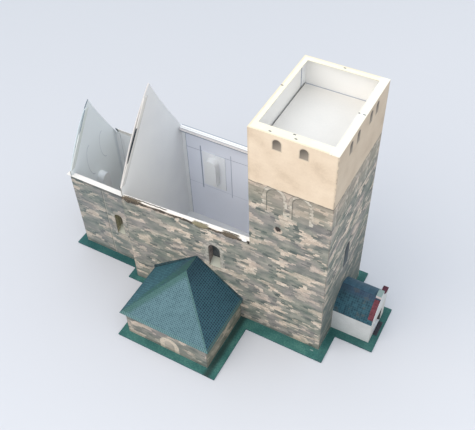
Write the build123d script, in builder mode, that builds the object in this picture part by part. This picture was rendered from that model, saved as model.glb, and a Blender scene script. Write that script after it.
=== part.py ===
"""A small unfinished card model of a medieval church, on the base card that it stands on.

The chancel, nave, tower and porch stand in a row along X, with the porch at +X, and the
sacristy stands on the -Y side of the nave. The nave, chancel and tower have no roofs yet.
All sizes are in millimetres and +Z is up. The origin is the middle of the base card's
underside.
"""
from build123d import *
from math import cos, hypot, radians, sin, sqrt, tan
import os

os.makedirs("parts", exist_ok=True)

# Card thicknesses
wall_card = 0.8
base_card_thickness = 1.2
trim_card = 0.5

# Plan, along the church from the chancel to the porch
chancel_length = 63.0
nave_length = 108.0
tower_length = 60.0
porch_length = 32.0

# Plan, across the church
nave_width = 82.0
near_wall_splay = 5.0
chancel_near_setback = 8.0
chancel_far_setback = 10.0
porch_width = 32.0
porch_setback = 24.0
sacristy_depth = 55.0
sacristy_length = 73.0
sacristy_setback = 9.0

# Strips of the base card that show outside the walls
margin = 6.5
near_margin = 9.5
west_margin = 5.5

# Heights above the base card
tower_height = 205.0
platform_depth = 21.0
nave_wall_height = 104.0
nave_gable_height = 175.0
chancel_wall_height = 80.0
chancel_gable_height = 138.0
nave_shoulder_rise = 2.5
chancel_shoulder_rise = 5.0
sacristy_wall_height = 22.0
sacristy_roof_height = 58.3
sacristy_ridge_length = 18.0
porch_near_wall_height = 23.5
porch_far_wall_height = 28.0
porch_ridge_height = 40.5

# Roof edges that reach past the walls
sacristy_east_eave = 6.0
sacristy_west_eave = 2.0
sacristy_near_eave = 0.5
roof_flap_at_eaves = 3.5
roof_flap_at_ridge = 1.0
porch_eave = 0.3
porch_roof_bulge = 2.4

# Gables: how far their tips lean in, and the height where they start to bow
nave_gable_lean = 5.0
nave_bow_start = 122.0
chancel_gable_lean = 5.5
chancel_bow_start = 98.0
slope_flap_width = 5.0
slope_flap_share = 0.85

# Torn top edge of the nave's near wall, and the flap that is left behind it
torn_height = 97.6
tear_depth = 1.2
tear_count = 16
torn_flap_at_tower = 2.8
torn_flap_at_chancel = 2.0
torn_flap_rise = 33.0
torn_flap_leg = 4.0

# Round-headed windows: clear width and height, and height of the sill
nave_window_width = 10.0
nave_window_height = 26.0
nave_window_sill = 53.0
chancel_window_width = 8.0
chancel_window_height = 24.0
chancel_window_sill = 30.0
east_window_sill = 33.0
window_depth = 6.0
sill_rise = 4.5

# Distances of window middles from the tower, from the nave's gable and from the chancel's gable
tower_to_window = 30.0
nave_gable_to_window = 30.0
chancel_gable_to_window = 42.5

# Glue flaps along the tops of the tower's walls, folded in level
near_flap = 7.0
far_flap = 4.5
east_flap = 4.0
west_flap = 5.5

# Glue flaps along the eaves: width, the part that hangs down, the part past the gable, and lean
eave_flap = 4.5
hanging_flap = 3.5
flap_ear = 4.0
upright_flap_lean = 18.0
flap_clearance = 0.5

# Upright glue tabs in the far corners, and the gap beside the tower's platform
tower_tab_width = 6.0
nave_tab_width = 3.5
chancel_tab_width = 4.0
platform_gap = 1.2

# Backing patch round the far window of the nave
patch_width = 22.0
patch_height = 38.0
patch_sill = 45.0

# Stepped parapet of the porch, with its doorway
parapet_thickness = 4.2
parapet_shoulder_drop = 2.0
parapet_step = 4.0
parapet_block_width = 7.0
parapet_block_shift = 2.0
kneeler_width = 6.0
kneeler_reach = 2.5
kneeler_rise = 3.0
kneeler_drop = 1.5
coping_thickness = 0.8
coping_foot_gap = 1.5
coping_head_gap = 1.5
door_width = 17.0
door_height = 17.0
doorstep_width = 14.0
doorstep_length = 3.5

# Levels and positions worked out from the sizes above
ground = base_card_thickness
base_length = margin + chancel_length + nave_length + tower_length + porch_length + west_margin
base_width = margin + sacristy_depth + nave_width + margin
porch_west = base_length / 2 - west_margin
tower_west = porch_west - porch_length
tower_east = tower_west - tower_length
nave_east = tower_east - nave_length
chancel_east = nave_east - chancel_length
near_face = -base_width / 2 + margin + sacristy_depth
far_face = near_face + nave_width
middle = (near_face + far_face) / 2
chancel_near = near_face + chancel_near_setback
chancel_far = far_face - chancel_far_setback
sacristy_near = near_face - sacristy_depth
sacristy_west = tower_east - sacristy_setback
sacristy_east = sacristy_west - sacristy_length
sacristy_middle = (sacristy_west + sacristy_east) / 2
porch_near = near_face + porch_setback
porch_far = porch_near + porch_width
porch_middle = (porch_near + porch_far) / 2
tower_top = ground + tower_height

low = (Align.MIN, Align.MIN)
low_middle = (Align.CENTER, Align.MIN)

# The nave's near wall isn't glued at its east end, so it stands out from the tower towards the
# chancel. On its plane, local X is 0 at the tower and negative towards the chancel.
splayed_length = hypot(nave_length, near_wall_splay)
splayed_plane = Plane(
    origin=(tower_east, near_face, 0), x_dir=(nave_length, near_wall_splay, 0),
    z_dir=(near_wall_splay, -nave_length, 0)
)


def splayed_outer(x):
    """Y of the outer face of the nave's near wall at the given X."""
    return near_face - near_wall_splay * (tower_east - x) / nave_length


def splayed_inner(x):
    """Y of the inner face of the nave's near wall at the given X."""
    return splayed_outer(x) + wall_card * splayed_length / nave_length


def facing_near(y):
    """Plane that looks along -Y, with X to the right and Z up, at the given Y."""
    return Plane.XZ.offset(-y)


def facing_west(x):
    """Plane that looks along +X, with Y to the right and Z up, at the given X."""
    return Plane.YZ.offset(x)


def round_head(across, sill, width, height, grow=0.0):
    """Add a round-headed outline to the sketch in hand, grown outward by grow."""
    straight = height - width / 2
    with Locations((across, sill - grow)):
        Rectangle(width + 2 * grow, straight + grow, align=low_middle, mode=Mode.ADD)
    with Locations((across, sill + straight)):
        Circle(width / 2 + grow, mode=Mode.ADD)


def cut_round_head(plane, across, sill, width, height):
    """Cut a round-headed opening through the wall card in hand, both ways from plane."""
    with BuildSketch(plane) as opening:
        round_head(across, sill, width, height)
    extrude(opening.sketch, amount=2 * wall_card, both=True, mode=Mode.SUBTRACT)


def window_box(plane, across, sill, width, height, inward):
    """Add the recess behind a window: a round-headed box closed at its back, with a sloping sill."""
    with BuildSketch(plane) as box_outline:
        round_head(across, sill, width, height, grow=trim_card)
    extrude(box_outline.sketch, amount=inward * (window_depth + trim_card))
    with BuildSketch(plane) as recess_outline:
        round_head(across, sill, width, height)
    extrude(recess_outline.sketch, amount=inward * window_depth, mode=Mode.SUBTRACT)
    corner = plane.from_local_coords((across - width / 2, sill, 0))
    with BuildSketch(Plane(corner, x_dir=plane.z_dir * inward, z_dir=plane.x_dir * -inward)) as sill_side:
        with BuildLine():
            Polyline((0, 0), (window_depth, 0), (window_depth, sill_rise), close=True)
        make_face()
    extrude(sill_side.sketch, amount=width * -inward)


def rectangle_wall(plane, start, end, height, inward):
    """Add an upright card from start to end along the plane, standing on the base card."""
    with BuildSketch(plane) as wall_outline:
        with Locations((start, ground)):
            Rectangle(end - start, height, align=low)
    extrude(wall_outline.sketch, amount=inward * wall_card)


# Base card: one outline round all the walls
with BuildPart() as base_card:
    with BuildSketch():
        with Locations((nave_east - margin, near_face - near_margin)):
            Rectangle(
                tower_west - nave_east + 2 * margin, nave_width + near_margin + margin, align=low
            )
        with Locations((chancel_east - margin, chancel_near - margin)):
            Rectangle(chancel_length, chancel_far - chancel_near + 2 * margin, align=low)
        with Locations((sacristy_east - margin, sacristy_near - margin)):
            Rectangle(sacristy_length + margin + near_margin, sacristy_depth, align=low)
        with Locations((tower_west, porch_near - margin)):
            Rectangle(porch_length + west_margin, porch_width + 2 * margin, align=low)
    extrude(amount=base_card_thickness)
base_card.part.label = "base_card"
export_step(base_card.part, "parts/base_card.step")

# Tower: near and far walls run the full length, the other two stand between them
with BuildPart() as tower_near_wall:
    rectangle_wall(facing_near(near_face), tower_east, tower_west, tower_height, -1)
tower_near_wall.part.label = "tower_near_wall"
export_step(tower_near_wall.part, "parts/tower_near_wall.step")

with BuildPart() as tower_far_wall:
    rectangle_wall(facing_near(far_face), tower_east, tower_west, tower_height, 1)
tower_far_wall.part.label = "tower_far_wall"
export_step(tower_far_wall.part, "parts/tower_far_wall.step")

with BuildPart() as tower_west_wall:
    rectangle_wall(
        facing_west(tower_west), near_face + wall_card, far_face - wall_card, tower_height, -1
    )
tower_west_wall.part.label = "tower_west_wall"
export_step(tower_west_wall.part, "parts/tower_west_wall.step")

with BuildPart() as tower_east_wall:
    rectangle_wall(
        facing_west(tower_east), near_face + wall_card, far_face - wall_card, tower_height, 1
    )
tower_east_wall.part.label = "tower_east_wall"
export_step(tower_east_wall.part, "parts/tower_east_wall.step")

# Tower top: four glue flaps, mitred at the corners and folded level onto the wall tops
inner_east = tower_east + east_flap
inner_west = tower_west - west_flap
inner_near = near_face + near_flap
inner_far = far_face - far_flap
flap_outlines = {
    "tower_near_flap": [
        (tower_east, near_face), (tower_west, near_face), (inner_west, inner_near), (inner_east, inner_near)
    ],
    "tower_far_flap": [
        (tower_east, far_face), (tower_west, far_face), (inner_west, inner_far), (inner_east, inner_far)
    ],
    "tower_east_flap": [
        (tower_east, near_face), (tower_east, far_face), (inner_east, inner_far), (inner_east, inner_near)
    ],
    "tower_west_flap": [
        (tower_west, near_face), (tower_west, far_face), (inner_west, inner_far), (inner_west, inner_near)
    ],
}
for name, outline in flap_outlines.items():
    with BuildPart() as tower_flap:
        with BuildSketch(Plane.XY.offset(tower_top)):
            with BuildLine():
                Polyline(outline, close=True)
            make_face()
        extrude(amount=trim_card)
    tower_flap.part.label = name
    export_step(tower_flap.part, f"parts/{name}.step")

# Platform inside the tower, below its top
with BuildPart() as tower_platform:
    with BuildSketch(Plane.XY.offset(tower_top - platform_depth - wall_card)):
        with Locations((tower_east + wall_card + platform_gap, near_face + wall_card)):
            Rectangle(
                tower_length - 2 * wall_card - platform_gap, nave_width - 2 * wall_card, align=low
            )
    extrude(amount=wall_card)
tower_platform.part.label = "tower_platform"
export_step(tower_platform.part, "parts/tower_platform.step")


def corner_tab(plane, start, foot, width, height):
    """Add an upright glue tab against the card that the plane lies on."""
    with BuildSketch(plane) as tab_outline:
        with Locations((start, foot)):
            Rectangle(width, height, align=low)
    extrude(tab_outline.sketch, amount=trim_card)


# Upright glue tab in the tower's far corner, from the platform to the flaps
with BuildPart() as tower_corner_tab:
    corner_tab(
        facing_west(tower_east + wall_card), far_face - wall_card - tower_tab_width,
        tower_top - platform_depth, tower_tab_width, platform_depth
    )
tower_corner_tab.part.label = "tower_corner_tab"
export_step(tower_corner_tab.part, "parts/tower_corner_tab.step")

# Nave: the near wall is splayed, has lost a strip along its top, and its edge is torn
nave_window_bottom = ground + nave_window_sill
torn_edge = []
for i in range(tear_count + 1):
    tear = tear_depth * sin(2 * i) ** 2
    torn_edge.append((-i / tear_count * splayed_length, ground + torn_height - tear))

with BuildPart() as nave_near_wall:
    with BuildSketch(splayed_plane):
        with BuildLine():
            torn = Polyline(torn_edge)
            Polyline(torn @ 1, (-splayed_length, ground), (0, ground), torn @ 0)
        make_face()
    extrude(amount=-wall_card)
    cut_round_head(
        splayed_plane, -tower_to_window, nave_window_bottom, nave_window_width, nave_window_height
    )
nave_near_wall.part.label = "nave_near_wall"
export_step(nave_near_wall.part, "parts/nave_near_wall.step")

far_windows = {
    "nave_far_window_box_east": nave_east + nave_gable_to_window,
    "nave_far_window_box_west": tower_east - tower_to_window,
}
with BuildPart() as nave_far_wall:
    rectangle_wall(facing_near(far_face), nave_east, tower_east, nave_wall_height, 1)
    for across in far_windows.values():
        cut_round_head(
            facing_near(far_face), across, nave_window_bottom, nave_window_width, nave_window_height
        )
nave_far_wall.part.label = "nave_far_wall"
export_step(nave_far_wall.part, "parts/nave_far_wall.step")

with BuildPart() as nave_near_window_box:
    window_box(
        splayed_plane.offset(-wall_card), -tower_to_window, nave_window_bottom,
        nave_window_width, nave_window_height, -1
    )
nave_near_window_box.part.label = "nave_near_window_box"
export_step(nave_near_window_box.part, "parts/nave_near_window_box.step")

for name, across in far_windows.items():
    with BuildPart() as nave_far_window_box:
        window_box(
            facing_near(far_face - wall_card), across, nave_window_bottom,
            nave_window_width, nave_window_height, 1
        )
    nave_far_window_box.part.label = name
    export_step(nave_far_window_box.part, f"parts/{name}.step")

# Backing patch on the inside of the far wall, with a hole for the window's box
with BuildPart() as nave_far_patch:
    with BuildSketch(facing_near(far_face - wall_card)):
        with Locations((nave_east + nave_gable_to_window + trim_card, ground + patch_sill)):
            Rectangle(patch_width, patch_height, align=low_middle)
    extrude(amount=trim_card)
    with BuildSketch(facing_near(far_face - wall_card)):
        round_head(
            nave_east + nave_gable_to_window, nave_window_bottom,
            nave_window_width, nave_window_height, grow=trim_card
        )
    extrude(amount=trim_card, mode=Mode.SUBTRACT)
nave_far_patch.part.label = "nave_far_patch"
export_step(nave_far_patch.part, "parts/nave_far_patch.step")


def gable_wall(east, near, far, near_eave, far_eave, apex, bow_start, lean):
    """Add a gable wall whose upper part bows inward, towards +X, as unsupported card does.

    Its tip stands over the middle of the church.
    """
    with BuildSketch(facing_near(near)) as bow:
        with BuildLine():
            outer = Line((east, ground), (east, bow_start))
            outer_bow = TangentArc(outer @ 1, (east + lean, apex), tangent=outer % 1)
            inner = Line((east + wall_card, ground), (east + wall_card, bow_start))
            inner_bow = TangentArc(inner @ 1, (east + wall_card + lean, apex), tangent=inner % 1)
            Line(outer @ 0, inner @ 0)
            Line(outer_bow @ 1, inner_bow @ 1)
        make_face()
    extrude(bow.sketch, amount=near - far)
    with BuildSketch(facing_west(east)) as gable_outline:
        with BuildLine():
            Polyline(
                (near, ground), (far, ground), (far, far_eave), (middle, apex),
                (near, near_eave), close=True
            )
        make_face()
    extrude(gable_outline.sketch, amount=lean + wall_card, mode=Mode.INTERSECT)


def slope_flap(east, near, far, near_eave, apex, bow_start, lean):
    """Add the folded strip on a gable's near slope: it is straight, so the bowed gable leaves a gap."""
    foot = east + wall_card
    top = near_eave + slope_flap_share * (apex - near_eave)
    bow_radius = ((apex - bow_start) ** 2 + lean**2) / (2 * lean)
    head = foot + bow_radius - sqrt(bow_radius**2 - (top - bow_start) ** 2)
    with BuildSketch(facing_near(near)) as strip_side:
        with BuildLine():
            Polyline(
                (foot, near_eave), (foot + trim_card, near_eave), (head + trim_card, top), (head, top),
                close=True
            )
        make_face()
    extrude(strip_side.sketch, amount=near - far)
    strip_top = near + slope_flap_share * (middle - near)
    with BuildSketch(facing_west(foot)) as strip_outline:
        with BuildLine():
            Polyline(
                (near, near_eave), (near + slope_flap_width, near_eave),
                (strip_top + slope_flap_width, top), (strip_top, top), close=True
            )
        make_face()
    extrude(strip_outline.sketch, amount=lean + wall_card, mode=Mode.INTERSECT)


nave_eave = ground + nave_wall_height
nave_gable_sizes = {
    "east": nave_east, "near": splayed_inner(nave_east + wall_card), "far": far_face - wall_card,
    "near_eave": nave_eave + nave_shoulder_rise, "apex": ground + nave_gable_height,
    "bow_start": ground + nave_bow_start, "lean": nave_gable_lean,
}
with BuildPart() as nave_east_gable:
    gable_wall(far_eave=nave_eave, **nave_gable_sizes)
nave_east_gable.part.label = "nave_east_gable"
export_step(nave_east_gable.part, "parts/nave_east_gable.step")

with BuildPart() as nave_gable_flap:
    slope_flap(**nave_gable_sizes)
nave_gable_flap.part.label = "nave_gable_flap"
export_step(nave_gable_flap.part, "parts/nave_gable_flap.step")

# Flap along the far wall: folded in level on the wall's top, with its edge hanging down
with BuildPart() as nave_far_flap:
    with BuildSketch(facing_west(nave_east + wall_card + flap_clearance)):
        with Locations((far_face, nave_eave)):
            Rectangle(eave_flap, trim_card, align=(Align.MAX, Align.MIN))
        with Locations((far_face - eave_flap, nave_eave + trim_card)):
            Rectangle(trim_card, hanging_flap + trim_card, align=(Align.MIN, Align.MAX))
    extrude(amount=nave_length - wall_card - flap_clearance)
nave_far_flap.part.label = "nave_far_flap"
export_step(nave_far_flap.part, "parts/nave_far_flap.step")


def torn_flap_section(x, width):
    """Section of the torn flap at x: a leg down the wall's inner face and a slanting strip."""
    rise = radians(torn_flap_rise)
    face = splayed_inner(x)
    fold = ground + torn_height
    tip = (face + width * cos(rise), fold + width * sin(rise))
    with BuildSketch(facing_west(x), mode=Mode.PRIVATE) as section:
        with BuildLine():
            Polyline(
                (face, fold - torn_flap_leg), (face + trim_card, fold - torn_flap_leg),
                (face + trim_card, fold + trim_card * (tan(rise) - 1 / cos(rise))),
                (tip[0] + trim_card * sin(rise), tip[1] - trim_card * cos(rise)), tip, (face, fold),
                close=True
            )
        make_face()
    return section.sketch


# Flap left behind the torn edge: its inner ply is still on the wall, and it leans in
east_section = torn_flap_section(nave_east + wall_card, torn_flap_at_chancel)
west_section = torn_flap_section(tower_east, torn_flap_at_tower)
with BuildPart() as nave_torn_flap:
    loft([east_section, west_section], ruled=True)
nave_torn_flap.part.label = "nave_torn_flap"
export_step(nave_torn_flap.part, "parts/nave_torn_flap.step")

with BuildPart() as nave_corner_tab:
    corner_tab(
        facing_near(far_face - wall_card), nave_east + wall_card, ground, nave_tab_width, nave_wall_height
    )
nave_corner_tab.part.label = "nave_corner_tab"
export_step(nave_corner_tab.part, "parts/nave_corner_tab.step")

# Chancel, narrower and lower than the nave
chancel_window_bottom = ground + chancel_window_sill
chancel_window = chancel_east + chancel_gable_to_window
chancel_eave = ground + chancel_wall_height
chancel_gable_sizes = {
    "east": chancel_east, "near": chancel_near + wall_card, "far": chancel_far - wall_card,
    "near_eave": chancel_eave + chancel_shoulder_rise, "apex": ground + chancel_gable_height,
    "bow_start": ground + chancel_bow_start, "lean": chancel_gable_lean,
}

with BuildPart() as chancel_near_wall:
    rectangle_wall(facing_near(chancel_near), chancel_east, nave_east, chancel_wall_height, -1)
    cut_round_head(
        facing_near(chancel_near), chancel_window, chancel_window_bottom,
        chancel_window_width, chancel_window_height
    )
chancel_near_wall.part.label = "chancel_near_wall"
export_step(chancel_near_wall.part, "parts/chancel_near_wall.step")

with BuildPart() as chancel_far_wall:
    rectangle_wall(facing_near(chancel_far), chancel_east, nave_east, chancel_wall_height, 1)
    cut_round_head(
        facing_near(chancel_far), chancel_window, chancel_window_bottom,
        chancel_window_width, chancel_window_height
    )
chancel_far_wall.part.label = "chancel_far_wall"
export_step(chancel_far_wall.part, "parts/chancel_far_wall.step")

with BuildPart() as chancel_east_gable:
    gable_wall(far_eave=chancel_eave, **chancel_gable_sizes)
    cut_round_head(
        facing_west(chancel_east), middle, ground + east_window_sill,
        chancel_window_width, chancel_window_height
    )
chancel_east_gable.part.label = "chancel_east_gable"
export_step(chancel_east_gable.part, "parts/chancel_east_gable.step")

with BuildPart() as chancel_near_window_box:
    window_box(
        facing_near(chancel_near + wall_card), chancel_window, chancel_window_bottom,
        chancel_window_width, chancel_window_height, -1
    )
chancel_near_window_box.part.label = "chancel_near_window_box"
export_step(chancel_near_window_box.part, "parts/chancel_near_window_box.step")

with BuildPart() as chancel_far_window_box:
    window_box(
        facing_near(chancel_far - wall_card), chancel_window, chancel_window_bottom,
        chancel_window_width, chancel_window_height, 1
    )
chancel_far_window_box.part.label = "chancel_far_window_box"
export_step(chancel_far_window_box.part, "parts/chancel_far_window_box.step")

with BuildPart() as chancel_east_window_box:
    window_box(
        facing_west(chancel_east + wall_card), middle, ground + east_window_sill,
        chancel_window_width, chancel_window_height, 1
    )
chancel_east_window_box.part.label = "chancel_east_window_box"
export_step(chancel_east_window_box.part, "parts/chancel_east_window_box.step")

with BuildPart() as chancel_gable_flap:
    slope_flap(**chancel_gable_sizes)
chancel_gable_flap.part.label = "chancel_gable_flap"
export_step(chancel_gable_flap.part, "parts/chancel_gable_flap.step")

# Flap along the chancel's near wall: folded in level, notched round the gable, with an ear past it
with BuildPart() as chancel_near_flap:
    with BuildSketch(Plane.XY.offset(chancel_eave)):
        with Locations((chancel_east - flap_ear, chancel_near)):
            Rectangle(chancel_length + flap_ear, eave_flap, align=low)
        with Locations((chancel_east - flap_clearance, chancel_near + wall_card - flap_clearance)):
            Rectangle(wall_card + 2 * flap_clearance, eave_flap, align=low, mode=Mode.SUBTRACT)
    extrude(amount=trim_card)
chancel_near_flap.part.label = "chancel_near_flap"
export_step(chancel_near_flap.part, "parts/chancel_near_flap.step")

# Flap along the chancel's far wall: it still stands up and leans in a little
upright_lean = eave_flap * tan(radians(upright_flap_lean))
with BuildPart() as chancel_far_flap:
    with BuildSketch(facing_west(chancel_east + wall_card + flap_clearance)):
        with BuildLine():
            Polyline(
                (chancel_far, chancel_eave), (chancel_far - trim_card, chancel_eave),
                (chancel_far - trim_card - upright_lean, chancel_eave + eave_flap),
                (chancel_far - upright_lean, chancel_eave + eave_flap), close=True
            )
        make_face()
    extrude(amount=chancel_length - wall_card - flap_clearance)
chancel_far_flap.part.label = "chancel_far_flap"
export_step(chancel_far_flap.part, "parts/chancel_far_flap.step")

with BuildPart() as chancel_corner_tab:
    corner_tab(
        facing_near(chancel_far - wall_card), chancel_east + wall_card, ground,
        chancel_tab_width, chancel_wall_height
    )
chancel_corner_tab.part.label = "chancel_corner_tab"
export_step(chancel_corner_tab.part, "parts/chancel_corner_tab.step")

# Sacristy: three low walls that reach back to the nave's splayed wall
with BuildPart() as sacristy_near_wall:
    rectangle_wall(facing_near(sacristy_near), sacristy_east, sacristy_west, sacristy_wall_height, -1)
sacristy_near_wall.part.label = "sacristy_near_wall"
export_step(sacristy_near_wall.part, "parts/sacristy_near_wall.step")

with BuildPart() as sacristy_west_wall:
    rectangle_wall(
        facing_west(sacristy_west), sacristy_near + wall_card, splayed_outer(sacristy_west - wall_card),
        sacristy_wall_height, -1
    )
sacristy_west_wall.part.label = "sacristy_west_wall"
export_step(sacristy_west_wall.part, "parts/sacristy_west_wall.step")

with BuildPart() as sacristy_east_wall:
    rectangle_wall(
        facing_west(sacristy_east), sacristy_near + wall_card, splayed_outer(sacristy_east),
        sacristy_wall_height, 1
    )
sacristy_east_wall.part.label = "sacristy_east_wall"
export_step(sacristy_east_wall.part, "parts/sacristy_east_wall.step")

# Sacristy roof: one folded card, hipped towards -Y, with a short ridge, and cut along the nave's wall
east_span = sacristy_length / 2 + sacristy_east_eave
west_span = sacristy_length / 2 + sacristy_west_eave
roof_reach = sacristy_depth + sacristy_near_eave
roof_foot = ground + sacristy_wall_height
roof_rise = sacristy_roof_height - sacristy_wall_height


def hipped_roof(drop):
    """Add the solid under a hipped roof whose ridge and eaves lie lower by drop."""
    inset = drop / roof_rise
    ridge = roof_foot + roof_rise - drop
    with BuildSketch(facing_near(near_face)) as roof_end:
        with BuildLine():
            Polyline(
                (sacristy_middle - east_span * (1 - inset), roof_foot),
                (sacristy_middle + west_span * (1 - inset), roof_foot),
                (sacristy_middle, ridge), close=True
            )
        make_face()
    extrude(roof_end.sketch, amount=roof_reach)
    with BuildSketch(facing_west(sacristy_middle + west_span)) as roof_side:
        with BuildLine():
            Polyline(
                (near_face, roof_foot), (near_face, ridge), (near_face - sacristy_ridge_length, ridge),
                (near_face - roof_reach + inset * (roof_reach - sacristy_ridge_length), roof_foot),
                close=True
            )
        make_face()
    extrude(roof_side.sketch, amount=-(east_span + west_span), mode=Mode.INTERSECT)


with BuildPart(mode=Mode.PRIVATE) as roof_hollow:
    hipped_roof(2 * wall_card)

with BuildPart() as sacristy_roof:
    hipped_roof(0.0)
    add(roof_hollow.part, mode=Mode.SUBTRACT)
    split(bisect_by=splayed_plane, keep=Keep.TOP)
sacristy_roof.part.label = "sacristy_roof"
export_step(sacristy_roof.part, "parts/sacristy_roof.step")

# Glue flap of the sacristy roof, folded up against the nave's wall, wider towards the eaves
roof_peak = ground + sacristy_roof_height
stretch = splayed_length / nave_length
with BuildPart() as sacristy_roof_flap:
    with BuildSketch(splayed_plane):
        with BuildLine():
            east_foot = ((sacristy_middle - east_span - tower_east) * stretch, roof_foot)
            west_foot = ((sacristy_middle + west_span - tower_east) * stretch, roof_foot)
            peak = ((sacristy_middle - tower_east) * stretch, roof_peak)
            Polyline(
                east_foot, peak, west_foot, (west_foot[0], roof_foot + roof_flap_at_eaves),
                (peak[0], roof_peak + roof_flap_at_ridge), (east_foot[0], roof_foot + roof_flap_at_eaves),
                close=True
            )
        make_face()
    extrude(amount=trim_card, dir=(0, -1, 0))
sacristy_roof_flap.part.label = "sacristy_roof_flap"
export_step(sacristy_roof_flap.part, "parts/sacristy_roof_flap.step")

# Porch walls
porch_inner_west = porch_west - parapet_thickness
near_eave_level = ground + porch_near_wall_height
far_eave_level = ground + porch_far_wall_height
porch_ridge = ground + porch_ridge_height
with BuildPart() as porch_near_wall:
    rectangle_wall(facing_near(porch_near), tower_west, porch_inner_west, porch_near_wall_height, -1)
porch_near_wall.part.label = "porch_near_wall"
export_step(porch_near_wall.part, "parts/porch_near_wall.step")

with BuildPart() as porch_far_wall:
    rectangle_wall(facing_near(porch_far), tower_west, porch_inner_west, porch_far_wall_height, 1)
porch_far_wall.part.label = "porch_far_wall"
export_step(porch_far_wall.part, "parts/porch_far_wall.step")

# Porch roof: two slopes of slightly bulging card. Its near slope runs out over the parapet, and its
# far slope ends behind the parapet, which stands higher there.
near_foot = (porch_near - porch_eave, near_eave_level)
far_foot = (porch_far + porch_eave, far_eave_level)
inner_near_foot = (porch_near + wall_card, near_eave_level)
inner_far_foot = (porch_far - wall_card, far_eave_level)
ridge = (porch_middle, porch_ridge)
inner_ridge = (porch_middle, porch_ridge - 2 * wall_card)
block_near = porch_middle + parapet_block_shift - parapet_block_width / 2
block_far = block_near + parapet_block_width
with BuildPart() as porch_roof:
    with BuildSketch(facing_west(tower_west)) as roof_section:
        with BuildLine():
            SagittaArc(near_foot, ridge, porch_roof_bulge)
            SagittaArc(ridge, far_foot, porch_roof_bulge)
            Line(far_foot, inner_far_foot)
            SagittaArc(inner_ridge, inner_far_foot, porch_roof_bulge)
            SagittaArc(inner_near_foot, inner_ridge, porch_roof_bulge)
            Line(inner_near_foot, near_foot)
        make_face()
    extrude(roof_section.sketch, amount=porch_length)
    with BuildSketch(facing_west(porch_west)):
        with Locations((block_near, far_eave_level)):
            Rectangle(porch_width, porch_ridge_height, align=low)
    extrude(amount=-parapet_thickness, mode=Mode.SUBTRACT)
porch_roof.part.label = "porch_roof"
export_step(porch_roof.part, "parts/porch_roof.step")

# Porch front: a thick parapet under the near slope, with a block beside the ridge, a far slope above
# the roof, and a doorway cut through it
shoulder_top = porch_ridge - parapet_shoulder_drop
block_top = shoulder_top + parapet_step
kneeler_top = far_eave_level + kneeler_rise
kneeler_far = porch_far + kneeler_reach
kneeler_near = kneeler_far - kneeler_width
with BuildPart() as porch_parapet:
    with BuildSketch(facing_west(porch_west)):
        with BuildLine():
            under_slope = SagittaArc(inner_near_foot, inner_ridge, porch_roof_bulge)
            Polyline(
                under_slope @ 1, (block_far, shoulder_top), (kneeler_near, kneeler_top),
                (kneeler_far, kneeler_top), (kneeler_far, far_eave_level - kneeler_drop),
                (porch_far, far_eave_level - kneeler_drop), (porch_far, ground),
                (porch_near, ground), (porch_near, near_eave_level), under_slope @ 0
            )
        make_face()
        with Locations((block_near, far_eave_level)):
            Rectangle(parapet_block_width, block_top - far_eave_level, align=low)
        with Locations((porch_middle, ground)):
            Rectangle(door_width, door_height, align=low_middle, mode=Mode.SUBTRACT)
    extrude(amount=-parapet_thickness)
porch_parapet.part.label = "porch_parapet"
export_step(porch_parapet.part, "parts/porch_parapet.step")

# Red copings: one on the near slope's west edge, one down the far slope and over the kneeler
with BuildPart() as porch_near_coping:
    with BuildSketch(facing_west(porch_west)):
        with BuildLine():
            lower_edge = SagittaArc(near_foot, ridge, porch_roof_bulge)
            raised_foot = (near_foot[0], near_foot[1] + coping_thickness)
            raised_ridge = (ridge[0], ridge[1] + coping_thickness)
            upper_edge = SagittaArc(raised_foot, raised_ridge, porch_roof_bulge)
            Line(lower_edge @ 0, upper_edge @ 0)
            Line(lower_edge @ 1, upper_edge @ 1)
        make_face()
        with Locations((porch_near + coping_foot_gap, ground)):
            Rectangle(
                block_near - coping_head_gap - porch_near - coping_foot_gap, 2 * porch_ridge_height,
                align=low, mode=Mode.INTERSECT
            )
    extrude(amount=-parapet_thickness)
porch_near_coping.part.label = "porch_near_coping"
export_step(porch_near_coping.part, "parts/porch_near_coping.step")

with BuildPart() as porch_far_coping:
    with BuildSketch(facing_west(porch_west)):
        with BuildLine():
            Polyline(
                (block_far, shoulder_top), (kneeler_near, kneeler_top), (kneeler_far, kneeler_top),
                (kneeler_far, kneeler_top + coping_thickness),
                (kneeler_near, kneeler_top + coping_thickness),
                (block_far, shoulder_top + coping_thickness), close=True
            )
        make_face()
    extrude(amount=-parapet_thickness)
porch_far_coping.part.label = "porch_far_coping"
export_step(porch_far_coping.part, "parts/porch_far_coping.step")

with BuildPart() as porch_doorstep:
    with BuildSketch(Plane.XY.offset(ground)):
        with Locations((porch_west, porch_middle)):
            Rectangle(doorstep_length, doorstep_width, align=(Align.MIN, Align.CENTER))
    extrude(amount=trim_card)
porch_doorstep.part.label = "porch_doorstep"
export_step(porch_doorstep.part, "parts/porch_doorstep.step")
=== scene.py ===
"""Looks of the card model of a church: printed and bare card, torn plies, floor, light and camera.

The walls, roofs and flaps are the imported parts, which get their finish here. X runs along the
church, with the tower at +X, -Y is the near side and +Z is up. Places and sizes on the model are in
millimetres; the floor, the light and the camera are in metres.
"""
import math
import random
from collections import namedtuple
from functools import partial, reduce

import bmesh
import bpy
from mathutils import Matrix, Vector


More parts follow.
